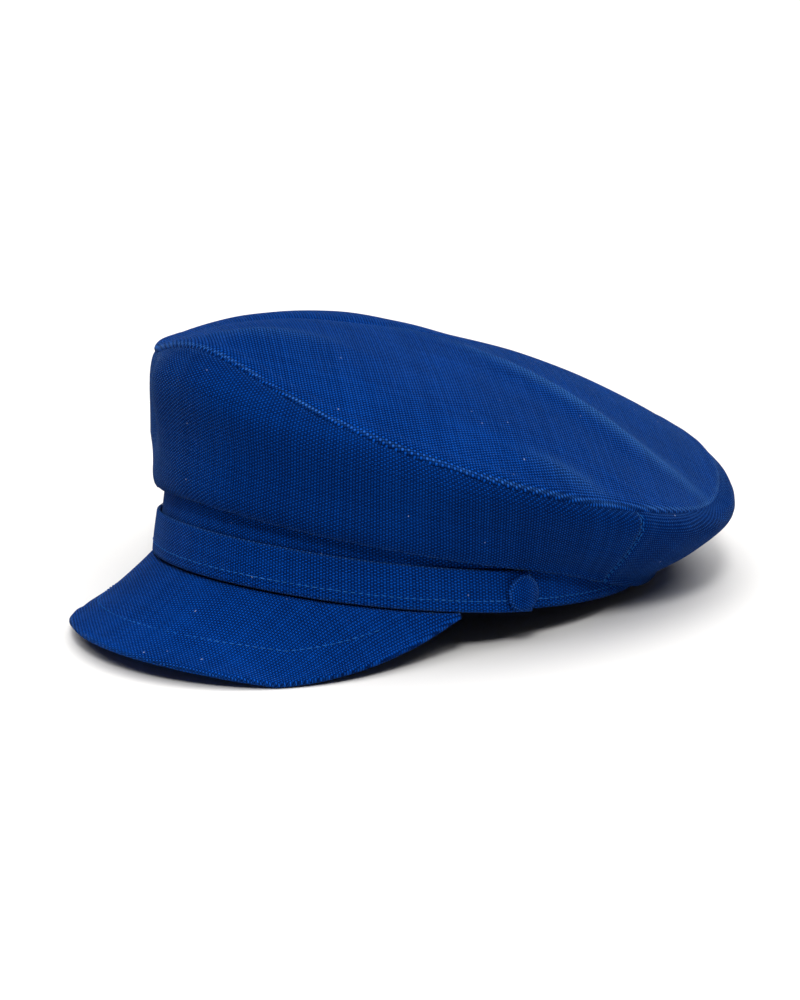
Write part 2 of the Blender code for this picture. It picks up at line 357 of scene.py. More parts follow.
crownCanvas = {
    # the first colour is painted shade for the weave's hollows, the second a painted lit tone for the
    # thread tops
    "hollowShade": (0.0004, 0.0075, 0.050),
    "lit": (0.0018, 0.0740, 0.440),
    "rubbedAndLit": (0.0450, 0.1700, 0.480),
    "warpPitch": 0.00108,
    "weftPitch": 0.00060,
    "relief": 0.00030,
    "grain": 0.0,
    "roughness": 0.85,
}
plainTrim = {**crownCanvas, "lit": (0.0018, 0.0740, 0.450), "roughness": 0.82}
clothLook = {
    "rampEnds": (0.12, 0.95),
    "cloudScale": 24.0,
    "cloudDepth": 0.30,
    "lintColour": (0.36, 0.44, 0.66, 1),
    "specular": 0.01,
    "sheen": 0.20,
    "sheenRoughness": 0.13,
    "sheenTint": (0.26, 0.54, 1.0, 1),
}


def clothMaterial(name, cloth):
    material = bpy.data.materials.new(name)
    material.use_nodes = True
    tree = material.node_tree
    shader = tree.nodes["Principled BSDF"]
    place = tree.nodes.new("ShaderNodeTexCoord").outputs["Object"]
    uv = tree.nodes.new("ShaderNodeUVMap")
    uv.uv_map = "cloth"
    wearAndHighlight = tree.nodes.new("ShaderNodeAttribute")
    wearAndHighlight.attribute_name = "wearAndHighlight"
    threads = tree.nodes.new("ShaderNodeGroup")
    threads.node_tree = weave
    threads.inputs["Warp pitch"].default_value = cloth["warpPitch"]
    threads.inputs["Weft pitch"].default_value = cloth["weftPitch"]
    threads.inputs["Grain turn"].default_value = math.radians(cloth["grain"])
    tree.links.new(uv.outputs[0], threads.inputs["Cloth"])
    tree.links.new(place, threads.inputs["Place"])
    specks = tree.nodes.new("ShaderNodeGroup")
    specks.node_tree = lint
    tree.links.new(place, specks.inputs["Place"])
    # painted shade: the ramp gives low threads the dark colour and high threads the lit colour
    ramp = tree.nodes.new("ShaderNodeValToRGB")
    for stop, position, tone in zip(ramp.color_ramp.elements, clothLook["rampEnds"], ("hollowShade", "lit")):
        stop.color = (*cloth[tone], 1)
        stop.position = position
    cloudy = noiseNode(tree, place, clothLook["cloudScale"], 3.0, 0.6)
    shade = mathNode(tree, "MULTIPLY_ADD", cloudy, clothLook["cloudDepth"], -clothLook["cloudDepth"] / 2)
    tree.links.new(mathNode(tree, "ADD", threads.outputs["Tone and shade"], shade), ramp.inputs[0])
    # lighter where the attribute says: rubbed wear, and painted highlight along the seam folds and
    # crease crests
    rubbedAndLitMix = tree.nodes.new("ShaderNodeMix")
    rubbedAndLitMix.data_type = "RGBA"
    rubbedAndLitMix.inputs["B"].default_value = (*cloth["rubbedAndLit"], 1)
    rubbedAndLitAmount = mathNode(tree, "MULTIPLY", wearAndHighlight.outputs["Fac"], threads.outputs["Height"], clamp=True)
    tree.links.new(rubbedAndLitAmount, rubbedAndLitMix.inputs["Factor"])
    tree.links.new(ramp.outputs[0], rubbedAndLitMix.inputs["A"])
    dusted = tree.nodes.new("ShaderNodeMix")
    dusted.data_type = "RGBA"
    dusted.inputs["B"].default_value = clothLook["lintColour"]
    tree.links.new(specks.outputs["Mask"], dusted.inputs["Factor"])
    tree.links.new(rubbedAndLitMix.outputs["Result"], dusted.inputs["A"])
    tree.links.new(dusted.outputs["Result"], shader.inputs["Base Color"])
    bump = tree.nodes.new("ShaderNodeBump")
    bump.inputs["Distance"].default_value = cloth["relief"]
    tree.links.new(threads.outputs["Height"], bump.inputs["Height"])
    tree.links.new(bump.outputs[0], shader.inputs["Normal"])
    shader.inputs["Roughness"].default_value = cloth["roughness"]
    shader.inputs["Specular IOR Level"].default_value = clothLook["specular"]
    shader.inputs["Sheen Weight"].default_value = clothLook["sheen"]
    shader.inputs["Sheen Roughness"].default_value = clothLook["sheenRoughness"]
    shader.inputs["Sheen Tint"].default_value = clothLook["sheenTint"]
    return material


topCanvas = clothMaterial("crown top canvas", {**crownCanvas, "grain": -56.0})
# the crown's sides get a darker copy of the canvas: painted shade for panels that face away from the
# overhead light
shadedSideCanvas = clothMaterial("crown side canvas painted darker", {**crownCanvas, "lit": (0.0012, 0.0520, 0.310)})
trimCanvas = clothMaterial("trim canvas", plainTrim)
peakCanvas = clothMaterial("peak canvas", {**plainTrim, "grain": 2.0})
buttonCanvas = clothMaterial("button canvas", {**plainTrim, "warpPitch": 0.0008, "weftPitch": 0.0005})
threadBlue = clothMaterial("sewing thread", {
    **plainTrim,
    "hollowShade": (0.0120, 0.0900, 0.330),
    "lit": (0.0500, 0.2000, 0.600),
    "warpPitch": 0.00035,
    "weftPitch": 0.00035,
    "relief": 0.00006,
})
print("cloth made")

# crown top: a domed disc with soft creases, its edge rolled down into the seam
crownTop = {
    "rings": 74,
    "columns": 400,
    "ringSpacing": 1.35,
    "meanRadius": 0.1,
    "roll": 0.0007,
    "rollRings": 6,
    "rollFlatness": 0.75,
    "rollBlend": 1.6,
    "stretch": 1.05,
    "allowance": 0.0055,
    "allowanceLift": 0.00035,
    "pucker": 0.00030,
    "puckerReach": 0.014,
    "puckerSize": 0.0085,
    "sag": 0.0006,
    "sagSize": 0.045,
    "fineSag": 0.4,
    "fineSagSize": 0.018,
    # the seam fold made lighter, as rubbed wear and a painted edge highlight: ring past the flat ones,
    # width in rings, and its patches
    "foldLightening": (1.6, 1.3),
    "seamLinePatch": (0.55, 0.6, 0.004),
    # painted highlight along the crease crests, standing in for sheen: amount, width, and the lift at
    # which it is full
    "crestSheen": 0.85,
    "crestSheenWidth": 0.045,
    "fullSheenLift": 0.0056,
    # places are shares of the half sizes; lift in metres, widths in shares on the near and far side
    "creases": (
        {
            "path": ((0.12, 0.04), (0.32, 0.12), (0.52, 0.21), (0.71, 0.33), (0.86, 0.48)),
            "lift": 0.0056,
            "widths": (0.110, 0.090),
        },
        {
            "path": ((0.81, -0.28), (0.86, -0.22), (0.90, -0.18), (0.94, -0.14), (0.98, -0.10)),
            "lift": 0.0026,
            "widths": (0.060, 0.040),
        },
        {
            "path": ((-0.15, -0.95), (-0.05, -0.88), (0.00, -0.80), (0.06, -0.70), (0.12, -0.60)),
            "lift": 0.0022,
            "widths": (0.080, 0.050),
        },
        {
            "path": ((-0.42, -0.56), (-0.34, -0.42), (-0.26, -0.28), (-0.19, -0.16), (-0.12, -0.04)),
            "lift": -0.0026,
            "widths": (0.090, 0.050),
        },
    ),
}


# how far the creases lift the cloth, and how much painted highlight lies on their crests
def creaseLift(x, y):
    across = (x - crown["lean"]) / (crown["width"] / 2)
    place = Vector((across, (y - crown["setback"]) / (crown["length"] / 2)))
    total = 0.0
    rubbedAndLitAmount = 0.0
    for crease in crownTop["creases"]:
        points = crease["path"]
        lift = crease["lift"]
        nearWidth, farWidth = crease["widths"]
        best = None
        for k in range(len(points) - 1):
            start = Vector(points[k])
            along = Vector(points[k + 1]) - start
            share = min(1.0, max(0.0, (place - start).dot(along) / along.length_squared))
            away = place - start - along * share
            if best is None or away.length < best[0]:
                side = along.x * away.y - along.y * away.x
                best = (away.length, side, (k + share) / (len(points) - 1))
        width = farWidth if best[1] > 0 else nearWidth
        fade = math.sin(math.pi * (0.10 + 0.80 * best[2])) ** 0.8
        total += lift * fade * math.exp(-((best[0] / width) ** 1.4))
        crestShine = crownTop["crestSheen"] * fade * max(0.0, lift / crownTop["fullSheenLift"])
        rubbedAndLitAmount += crestShine * math.exp(-((best[0] / crownTop["crestSheenWidth"]) ** 2))
    return total, rubbedAndLitAmount


# the seam's height on the tilted plane that lies closest to it
def seamTilt(turn):
    rises = crown["seamRise"]
    turns = [math.radians(360.0 * k / len(rises)) for k in range(len(rises))]
    level = sum(rises) / len(rises)
    along = 2 * sum(rise * math.cos(place) for rise, place in zip(rises, turns)) / len(rises)
    across = 2 * sum(rise * math.sin(place) for rise, place in zip(rises, turns)) / len(rises)
    angle = math.radians(turn)
    return crown["height"] * (level + along * math.cos(angle) + across * math.sin(angle))


def domePoint(turn, share):
    seam = seamPoint(turn)
    wave = seam.z - seamTilt(turn)
    seam.z -= wave
    apex = Vector((
        crown["lean"] + crown["apex"][0] * crown["width"] / 2,
        crown["setback"] + crown["apex"][1] * crown["length"] / 2,
        crown["height"] * crown["apex"][2],
    ))
    point = apex.lerp(seam, share)
    point.z += crown["dome"] * (1 - share ** crown["domeShape"]) + wave * share ** crown["waveFade"]
    return point


def seamFrame(turn):
    seam = seamPoint(turn)
    inward = (domePoint(turn, 0.97) - seam).normalized()
    section = sideCurve(turn, (1, 1, 1, 1, 1, 1))
    down = (section[5] - seam).normalized()
    return seam, inward, down


def topPoint(turn, share):
    point = domePoint(turn, share)
    edge = (point - seamPoint(turn)).length
    point.z += creaseLift(point.x, point.y)[0] * (1 - share**8)
    point.z += crownTop["sag"] * rough(point, crownTop["sagSize"], 3.0) * (1 - share**6)
    fineSag = rough(point, crownTop["fineSagSize"], 8.0)
    point.z += crownTop["sag"] * crownTop["fineSag"] * fineSag * (1 - share**10)
    ripple = rough(roundPlace(turn, edge * 0.35, 1.2), crownTop["puckerSize"], 5.0)
    point.z += crownTop["pucker"] * ripple * math.exp(-edge / crownTop["puckerReach"])
    ridge = edge / crownTop["allowance"]
    point.z += crownTop["allowanceLift"] * max(0.0, 1 - ridge**4) * min(1.0, edge / 0.001)
    return point


flatRings = crownTop["rings"] - crownTop["rollRings"]


# how far out a ring lies on the flat of the top, as a share; the rings crowd together at the edge
def ringShare(ring):
    return 1 - (1 - min(1.0, ring / flatRings)) ** crownTop["ringSpacing"]


def placeTop(u, v):
    turn = u * 360.0
    ring = v * crownTop["rings"]
    roll = crownTop["roll"]
    rimShare = 1 - roll / crownTop["meanRadius"]
    if ring <= flatRings:
        return topPoint(turn, ringShare(ring) * rimShare)
    seam, inward, down = seamFrames[round(u * crownTop["columns"]) % crownTop["columns"]]
    angle = (ring - flatRings) / crownTop["rollRings"] * math.pi
    flatness = crownTop["rollFlatness"]
    shift = topPoint(turn, rimShare) - seam - inward * roll
    centre = seam + inward * roll + down * roll * flatness
    edge = centre - inward * math.sin(angle) * roll - down * math.cos(angle) * roll * flatness
    return edge + shift * max(0.0, 1 - angle / crownTop["rollBlend"])


# the cloth is laid flat, and goes on outward over the roll
def lengthsTop(u, v):
    ring = v * crownTop["rings"]
    point = domePoint(u * 360.0, ringShare(ring))
    over = max(0.0, ring - flatRings) / crownTop["rollRings"] * math.pi * crownTop["roll"]
    angle = math.radians(u * 360.0)
    return (point.x + over * math.sin(angle), (point.y - over * math.cos(angle)) * crownTop["stretch"])


# a lighter line across the share v of a cloth
def lighterLine(v, place, width, amount):
    return max(0.0, 1 - abs(v - place) / width) * amount


# the fold at the seam is made lighter, as rubbed wear and a painted edge highlight; the crests of the
# creases get a painted highlight
def topWearAndHighlight(u, v):
    ring = v * crownTop["rings"]
    least, spread, size = crownTop["seamLinePatch"]
    patch = least + spread * rough(roundPlace(u * 360.0, 0.0), size, 11.0)
    seamWearAndHighlight = lighterLine(ring - flatRings, *crownTop["foldLightening"], patch)
    point = domePoint(u * 360.0, ringShare(ring))
    return seamWearAndHighlight + creaseLift(point.x, point.y)[1]


# crown side: from its hem on the band, down round the lower fold and up to the top seam
def sideCurve(turn, steps):
    foot = turn + crown["twist"] * math.sin(math.radians(turn))
    rise = crown["height"] * station(foot, "foldRise")
    depth = crown["foldDepth"]
    reach = depth * station(foot, "foldReach")
    seam = seamPoint(turn)
    out = ovalPoint(foot, 0.0)[1]
    base = cap["bandWall"] + cap["gap"]
    hem = bandPoint(foot, cap["bandHeight"], base)
    inner = bandPoint(foot, rise + depth, base)
    bottom = bandPoint(foot, rise, base + reach / 2)
    outer = bandPoint(foot, rise + depth, base + reach)
    low = outer.lerp(seam, crown["bellyAt"][0]) + out * depth * station(turn, "lowBelly")
    high = outer.lerp(seam, crown["bellyAt"][1]) + out * depth * station(turn, "highBelly")
    return curveThrough([hem, inner, bottom, outer, low, high, seam], steps)


crownSide = {
    "steps": (2, 5, 5, 16, 18, 8),
    "cutRadius": -0.90,
    "rollSteps": 5,
    "columns": 230,
    "roll": 0.0010,
    "drop": 0.0022,
    "turnIn": 0.0012,
    # the crown is longer round than the opening by these shares, at its belly and as cut
    "bellyRound": 1.18,
    "cutRound": 1.25,
    # where the uneven cloth begins above the hem and ends below the seam, and over what length
    "hemEase": (0.016, 0.012),
    "seamEase": (0.0015, 0.006),
    "ripple": 0.00050,
    "rippleSize": 0.021,
    "fineRippleSize": 0.010,
    "seamPucker": 0.00030,
    "puckerReach": 0.010,
    "puckerSize": 0.0080,
    "seamSwell": 0.00045,
    "swellWidth": 0.0065,
    "swellEdge": 0.0012,
    "seamGroove": 0.00045,
    "grooveWidth": 0.0009,
    # the roll into the top seam made lighter, as rubbed wear and a painted edge highlight: share up the
    # side, width, amount
    "foldLightening": (0.96, 0.012, 0.2),
    # soft upright dents: turn, height share, depth, turn width, height width
    "dents": (
        (-22.0, 0.70, -0.0034, 5.5, 0.28),
        (-12.0, 0.55, 0.0016, 6.0, 0.35),
        (-33.0, 0.40, 0.0018, 8.0, 0.30),
        (14.0, 0.80, 0.0009, 12.0, 0.20),
        (148.0, 0.62, -0.0012, 14.0, 0.20),
        (205.0, 0.60, -0.0016, 12.0, 0.22),
        (262.0, 0.60, 0.0012, 12.0, 0.30),
    ),
}
seamFrames = [seamFrame(360.0 * k / crownTop["columns"]) for k in range(crownTop["columns"])]
sideCache = {}


def sideRows(turn):
    key = round(turn, 4)
    if key in sideCache:
        return sideCache[key]
    path = sideCurve(turn, crownSide["steps"])
    seam, inward, down = seamFrame(turn)
    drop = crownSide["drop"]
    roll = crownSide["roll"]
    below = sum(1 for point in path if point is path[0] or (point - seam).dot(down) > drop + roll)
    keep = path[:below]
    top = seam + down * (drop + roll)
    keep[-1] = keep[-1].lerp(top, 0.5)
    for k in range(crownSide["rollSteps"] + 1):
        angle = math.pi / 2 * k / crownSide["rollSteps"]
        keep.append(top + inward * roll * (1 - math.cos(angle)) - down * roll * math.sin(angle))
    keep.append(keep[-1] + inward * crownSide["turnIn"])
    lengths = [0.0]
    for a, b in zip(keep, keep[1:]):
        lengths.append(lengths[-1] + (b - a).length)
    sideCache[key] = (keep, lengths)
    return sideCache[key]


def sideAt(turn, share):
    keep, lengths = sideRows(turn)
    target = share * lengths[-1]
    k = 1
    while k < len(lengths) - 1 and lengths[k] < target:
        k += 1
    part = (target - lengths[k - 1]) / max(1e-9, lengths[k] - lengths[k - 1])
    return keep[k - 1].lerp(keep[k], part), target, lengths[-1]


def sidePlacer(first, last):
    def place(u, v):
        turn = first + (last - first) * u
        point, length, whole = sideAt(turn, v)
        out = ovalPoint(turn, 0.0)[1]
        hemStart, hemSpan = crownSide["hemEase"]
        seamStart, seamSpan = crownSide["seamEase"]
        body = min(1.0, max(0.0, (length - hemStart) / hemSpan))
        ease = min(1.0, max(0.0, (whole - length - seamStart) / seamSpan))
        ripple = crownSide["ripple"]
        lift = ripple * rough(roundPlace(turn, length * 0.35), crownSide["rippleSize"], 2.0)
        lift += ripple * 0.5 * rough(roundPlace(turn, length), crownSide["fineRippleSize"], 6.0)
        for dentTurn, dentRise, depth, width, height in crownSide["dents"]:
            away = (turn - dentTurn + 180.0) % 360.0 - 180.0
            up = (length / whole - dentRise) / height
            lift += depth * math.exp(-((away / width) ** 2) - up**2)
        pucker = rough(roundPlace(turn, length * 0.2, 1.2), crownSide["puckerSize"], 9.0)
        lift += crownSide["seamPucker"] * pucker * math.exp(-(whole - length) / crownSide["puckerReach"])
        away = roundLength(min(turn - first, last - turn)) * crownSide["bellyRound"]
        swell = max(0.0, 1 - (away / crownSide["swellWidth"]) ** 4)
        lift += crownSide["seamSwell"] * swell * min(1.0, away / crownSide["swellEdge"])
        groove = crownSide["seamGroove"] * math.exp(-((away / crownSide["grooveWidth"]) ** 2))
        return point + out * (lift * body * ease - groove * body)

    return place


# each panel is cut as a shallow arc with the straight grain at its middle
def sideLengths(first, last):
    def lengths(u, v):
        turn = (last - first) * (u - 0.5)
        rise = v * sideRows(first + (last - first) * u)[1][-1]
        radius = crownSide["cutRadius"]
        angle = roundLength(turn) * crownSide["cutRound"] / radius
        return ((radius - rise) * math.sin(angle), radius - (radius - rise) * math.cos(angle))

    return lengths


# the side's roll into the top seam is made lighter, as rubbed wear and a painted edge highlight
def sideWearAndHighlight(u, v):
    return lighterLine(v, *crownSide["foldLightening"])


topPiece = laySheet(
    "crown_top_cloth", crownTop["columns"], crownTop["rings"], placeTop, lengthsTop,
    wearAndHighlight=topWearAndHighlight, joined=True,
)
giveWall(topPiece, crown["wall"])
topPiece.data.materials.append(topCanvas)
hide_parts("crown_top")

seamTurn = crown["sideSeam"]
farTurn = 360.0 - seamTurn
rowCount = sum(crownSide["steps"]) + crownSide["rollSteps"]
for name, node, first, last, flat, area in (
    ("crown_front_cloth", "crown_front", -seamTurn, seamTurn, (0.345, 0.100), 0.0220),
    ("crown_back_cloth", "crown_back", seamTurn, farTurn, (0.345, 0.085), 0.0248),
):
    piece = laySheet(
        name, crownSide["columns"], rowCount, sidePlacer(first, last), sideLengths(first, last),
        wearAndHighlight=sideWearAndHighlight,
    )
    giveWall(piece, crown["wall"], 1.0)
    piece.data.materials.append(shadedSideCanvas)
    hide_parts(node)
print("crown done")


# the open ends of a folded loop are closed
def closeEnds(piece):
    mesh = bmesh.new()
    mesh.from_mesh(piece.data)
    bmesh.ops.holes_fill(mesh, edges=[edge for edge in mesh.edges if edge.is_boundary], sides=0)
    mesh.to_mesh(piece.data)
    mesh.free()


# band, strap and peak are folded cloth: a flat loop with round edges, carried round the opening
band = {
    "columns": 360,
    "rows": 34,
    "wall": 0.0015,
    "height": 0.0318,
    "ripple": 0.00025,
    "rippleSize": 0.016,
    "stiffEdge": 0.004,
}
strap = {
    "columns": 230,
    "rows": 30,
    "wall": 0.0015,
    "height": 0.0163,
    "endHeight": 0.0150,
    "endTurn": 83.0,
    "ripple": 0.0002,
    "rippleSize": 0.012,
    # the folds made lighter in colour: share round the loop, width, amount
    "foldLightening": ((0.47, 0.02, 0.5), (0.99, 0.02, 0.4)),
}


# a point on a flat loop with round ends: how high up it and how far out, and the length round it
def loopPoint(share, height, wall):
    radius = wall / 2
    straight = height - wall
    bend = math.pi * radius
    whole = 2 * straight + 2 * math.pi * radius
    length = share * whole
    if length < straight:
        return radius + length, wall, length
    length -= straight
    if length < bend:
        angle = length / radius
        up = height - radius + radius * math.sin(angle)
        return up, radius + radius * math.cos(angle), straight + length
    length -= bend
    if length < straight:
        return height - radius - length, 0.0, straight + bend + length
    length -= straight
    angle = length / radius
    return radius - radius * math.sin(angle), radius - radius * math.cos(angle), whole - bend + length


def placeBand(u, v):
    turn = u * 360.0
    rise, out = loopPoint(v, band["height"], band["wall"])[:2]
    lift = band["ripple"] * rough(roundPlace(turn, rise), band["rippleSize"], 4.0)
    return bandPoint(turn, rise, out + lift * min(1.0, rise / band["stiffEdge"]))


def lengthsBand(u, v):
    return (roundLength(u * 360.0), loopPoint(v, band["height"], band["wall"])[2])


def trimFoldLines(u, v):
    return sum(lighterLine(v, *fold) for fold in strap["foldLightening"])


bandPiece = laySheet(
    "band_cloth", band["columns"], band["rows"], placeBand, lengthsBand, wearAndHighlight=trimFoldLines, joined=True,
)
bandPiece.data.materials.append(trimCanvas)
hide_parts("band")


def placeStrap(u, v):
    turn = strap["endTurn"] * (2 * u - 1)
    narrowing = (strap["endHeight"] - strap["height"]) * (turn / strap["endTurn"]) ** 2
    height = strap["height"] + narrowing
    rise, out = loopPoint(v, height, strap["wall"])[:2]
    base = cap["bandWall"] + cap["gap"]
    lift = strap["ripple"] * rough(roundPlace(turn, rise), strap["rippleSize"], 7.0)
    return bandPoint(turn, rise, base + out + lift)


def lengthsStrap(u, v):
    turn = strap["endTurn"] * (2 * u - 1)
    return (roundLength(turn), loopPoint(v, strap["height"], strap["wall"])[2])


strapPiece = laySheet(
    "strap_cloth", strap["columns"], strap["rows"], placeStrap, lengthsStrap, wearAndHighlight=trimFoldLines, joined=True,
)
closeEnds(strapPiece)
strapPiece.data.materials.append(trimCanvas)
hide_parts("strap")
print("band and strap done")

# sewing: short stitches laid along a path, each a small spindle half sunk in the cloth
sewing = {
    "pitch": 0.0027,
    "length": 0.0022,
    "radius": 0.00021,
    "sink": 0.35,
    # how far the stitches vary: their slant, length, thickness and place
    "slant": 0.10,
    "lengthShares": (0.72, 1.0),
    "radiusShares": (0.75, 1.15),
    "stray": 0.00012,
    "bandRise": 0.0040,
    "strapRise": 0.0043,
    "strapInset": 0.6,
    "seamAside": 0.55,
    # where the side seam's rows begin, and how much of the side's height they take
    "seamRows": (0.14, 0.84),
    "peakPlace": (0.63, -0.0035),
    "peakTurns": (-42.0, 48.0),
}


def walkPath(points, pitch):
    walked = []
    left = 0.0
    for (start, out), (end, nextOut) in zip(points, points[1:]):
        step = end - start
        length = step.length
        while left < length:
            share = left / length
            walked.append((start.lerp(end, share), step / length, out.lerp(nextOut, share).normalized()))
            left += pitch
        left -= length
    return walked


def sewRow(name, rows):
    rng = random.Random(name)
    mesh = bmesh.new()
    for points in rows:
        for place, along, out in walkPath(points, sewing["pitch"]):
            across = out.cross(along).normalized()
            up = along.cross(across)
            along = (along + across * rng.uniform(-sewing["slant"], sewing["slant"])).normalized()
            turned = Matrix((along, across, up)).transposed().to_4x4()
            length = sewing["length"] / 2 * rng.uniform(*sewing["lengthShares"])
            radius = sewing["radius"] * rng.uniform(*sewing["radiusShares"])
            grown = Matrix.Diagonal((radius, length, radius, 1))
            lie = Matrix.Rotation(-math.pi / 2, 4, "Z") @ grown
            stray = across * rng.uniform(-sewing["stray"], sewing["stray"])
            lifted = place + up * radius * (1 - 2 * sewing["sink"]) + stray
            stand = Matrix.Translation(lifted + cap["middle"])
            bmesh.ops.create_uvsphere(
                mesh, u_segments=6, v_segments=5, radius=1.0,
                matrix=stand @ turned @ lie @ Matrix.Rotation(math.pi / 2, 4, "X"),
            )
    mesh.loops.layers.uv.new("cloth")
    mesh.verts.layers.float.new("wearAndHighlight")
    piece = meshPiece(name, mesh)
    piece.data.materials.append(threadBlue)


def turnsOver(first, last, count):
    return [first + (last - first) * k / count for k in range(count + 1)]


def bandRow(rise, grow, first, last):
    turns = turnsOver(first, last, 160)
    return [(bandPoint(turn, rise, grow), ovalPoint(turn, 0.0)[1]) for turn in turns]


strapFace = cap["bandWall"] + cap["gap"] + strap["wall"]
end = strap["endTurn"] - sewing["strapInset"]
sewRow("strap_stitches", [bandRow(sewing["strapRise"], strapFace, -end, end)])
sewRow("band_stitches", [
    bandRow(sewing["bandRise"], cap["bandWall"], strap["endTurn"], 360.0 - strap["endTurn"]),
])


# a row up the crown's side a little to one side of a seam
def seamRow(place, first, last, turn):
    share = (turn - first) / (last - first)
    low, height = sewing["seamRows"]
    points = [place(share, low + height * k / 60) for k in range(61)]
    across = place(share + 0.002, 0.5) - place(share - 0.002, 0.5)
    outs = [across.cross(end - start).normalized() for start, end in zip(points, points[1:])]
    return [(point + out * crown["wall"], out) for point, out in zip(points, outs)]


aside = sewing["seamAside"]
frontPlace = sidePlacer(-seamTurn, seamTurn)
backPlace = sidePlacer(seamTurn, farTurn)
sewRow("side_seam_stitches", [
    seamRow(frontPlace, -seamTurn, seamTurn, seamTurn - aside),
    seamRow(frontPlace, -seamTurn, seamTurn, aside - seamTurn),
    seamRow(backPlace, seamTurn, farTurn, seamTurn + aside),
    seamRow(backPlace, seamTurn, farTurn, farTurn - aside),
])
print("stitches done")

peak = {
    "wall": 0.0022,
    "tuckedUnder": 0.004,
    "reach": 0.0384,
    "corner": 66.0,
    "roundness": 0.956,
    "fullness": 1.375,
    "lobe": 29.5,
    "centreLift": 0.0067,
    "leftSweep": 1.95,
    "rightSweep": 1.31,
    "leftCurl": 1.75,
    "rightCurl": 3.40,
    # a shallow dip before the strap, where its own shade falls
    "rootDip": 0.0013,
    "dipReach": 0.0075,
    "dipStart": 0.003,
    "ripple": 0.00035,
    "rippleSize": 0.030,
    "stiffRoot": 0.006,
    "foldLightening": (0.485, 0.018, 0.35),
    "columns": 260,
    "rows": 40,
}


def peakEdge(turn):
    if abs(turn) < peak["lobe"]:
        return peak["centreLift"] * (1 - (turn / peak["lobe"]) ** 2)
    corner = math.copysign(peak["corner"], turn)
    curl = peak["leftCurl"] if turn > 0 else peak["rightCurl"]
    share = (abs(turn) - peak["lobe"]) / (peak["corner"] - peak["lobe"])
    return (rimHeight(corner) - cap["gap"] - peak["wall"]) * share**curl


def peakDepth(turn):
    share = abs(turn) / peak["corner"]
    slope = max(0.0, math.cos(math.pi / 2 * share ** peak["roundness"]))
    return peak["reach"] * slope ** peak["fullness"]


# the underside of the peak, from its root under the band to its outer edge
def peakPoint(turn, part, rise):
    reach = cap["gap"] + peakDepth(turn)
    root, out = ovalPoint(turn, 0.0)
    low = rimHeight(turn) - cap["gap"] - peak["wall"]
    edge = peakEdge(turn)
    bend = 2 * cap["gap"] + cap["bandWall"] + cap["strapWall"]
    span = bend + reach
    out *= span * part
    share = max(0.0, (span * part - bend) / reach)
    lean = max(-1.0, min(1.0, turn / peak["lobe"]))
    sweep = peak["rightSweep"] + (peak["leftSweep"] - peak["rightSweep"]) * (1 + lean) / 2
    height = edge + (low - edge) * (1 - share) ** sweep
    return root + out + Vector((0, 0, height + rise))


def placePeak(u, v):
    turn = peak["corner"] * (2 * u - 1)
    share = abs(turn) / peak["corner"]
    reach = peak["tuckedUnder"] + peakDepth(turn)
    along, up = loopPoint(v, reach, peak["wall"])[:2]
    lift = peak["ripple"] * rough(roundPlace(turn, along, 1.3), peak["rippleSize"], 1.0)
    fade = min(1.0, along / peak["stiffRoot"])
    dip = peak["rootDip"] * math.exp(-((along / peak["dipReach"]) ** 2))
    dip *= 1 - share**4
    dip *= min(1.0, along / peak["dipStart"])
    return peakPoint(turn, along / reach, up + lift * fade - dip)


# the cloth is laid flat outward from the root
def lengthsPeak(u, v):
    turn = peak["corner"] * (2 * u - 1)
    reach = peak["tuckedUnder"] + peakDepth(turn)
    along = loopPoint(v, reach, peak["wall"])[0]
    steps = 12
    path = [peakPoint(turn, along / reach * k / steps, 0.0) for k in range(steps + 1)]
    span = sum((b - a).length for a, b in zip(path, path[1:]))
    flat = path[0] + ovalPoint(turn, 0.0)[1] * span
    return (flat.x, flat.y)


def peakFoldLine(u, v):
    return lighterLine(v, *peak["foldLightening"])


peakPiece = laySheet(
    "peak_cloth", peak["columns"], peak["rows"], placePeak, lengthsPeak, wearAndHighlight=peakFoldLine, joined=True,
)
closeEnds(peakPiece)
peakPiece.data.materials.append(peakCanvas)
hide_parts("peak")


def peakRow(first, last):
    level, slope = sewing["peakPlace"]
    turns = turnsOver(first, last, 120)
    points = [peakPoint(turn, level + slope * turn, peak["wall"]) for turn in turns]
    return [(point, Vector((0, 0, 1))) for point in points]


sewRow("peak_stitches", [peakRow(*sewing["peakTurns"])])
print("peak done")

button = {
    "radius": 0.0065,
    "height": 0.0048,
    "turn": 80.0,
    "rise": 0.0072,
    "edge": 0.40,
    "foot": 0.72,
    "domeRows": 12,
    "domeShape": 1.1,
    "steps": 56,
    # the cloth is gathered round the edge: folds, depth and the share of the radius where they begin
    "gathers": 14,
    "gatherDepth": 0.00012,
    "gatherStart": 0.6,
    "edgeWear": (0.92, 0.08, 0.35),
}


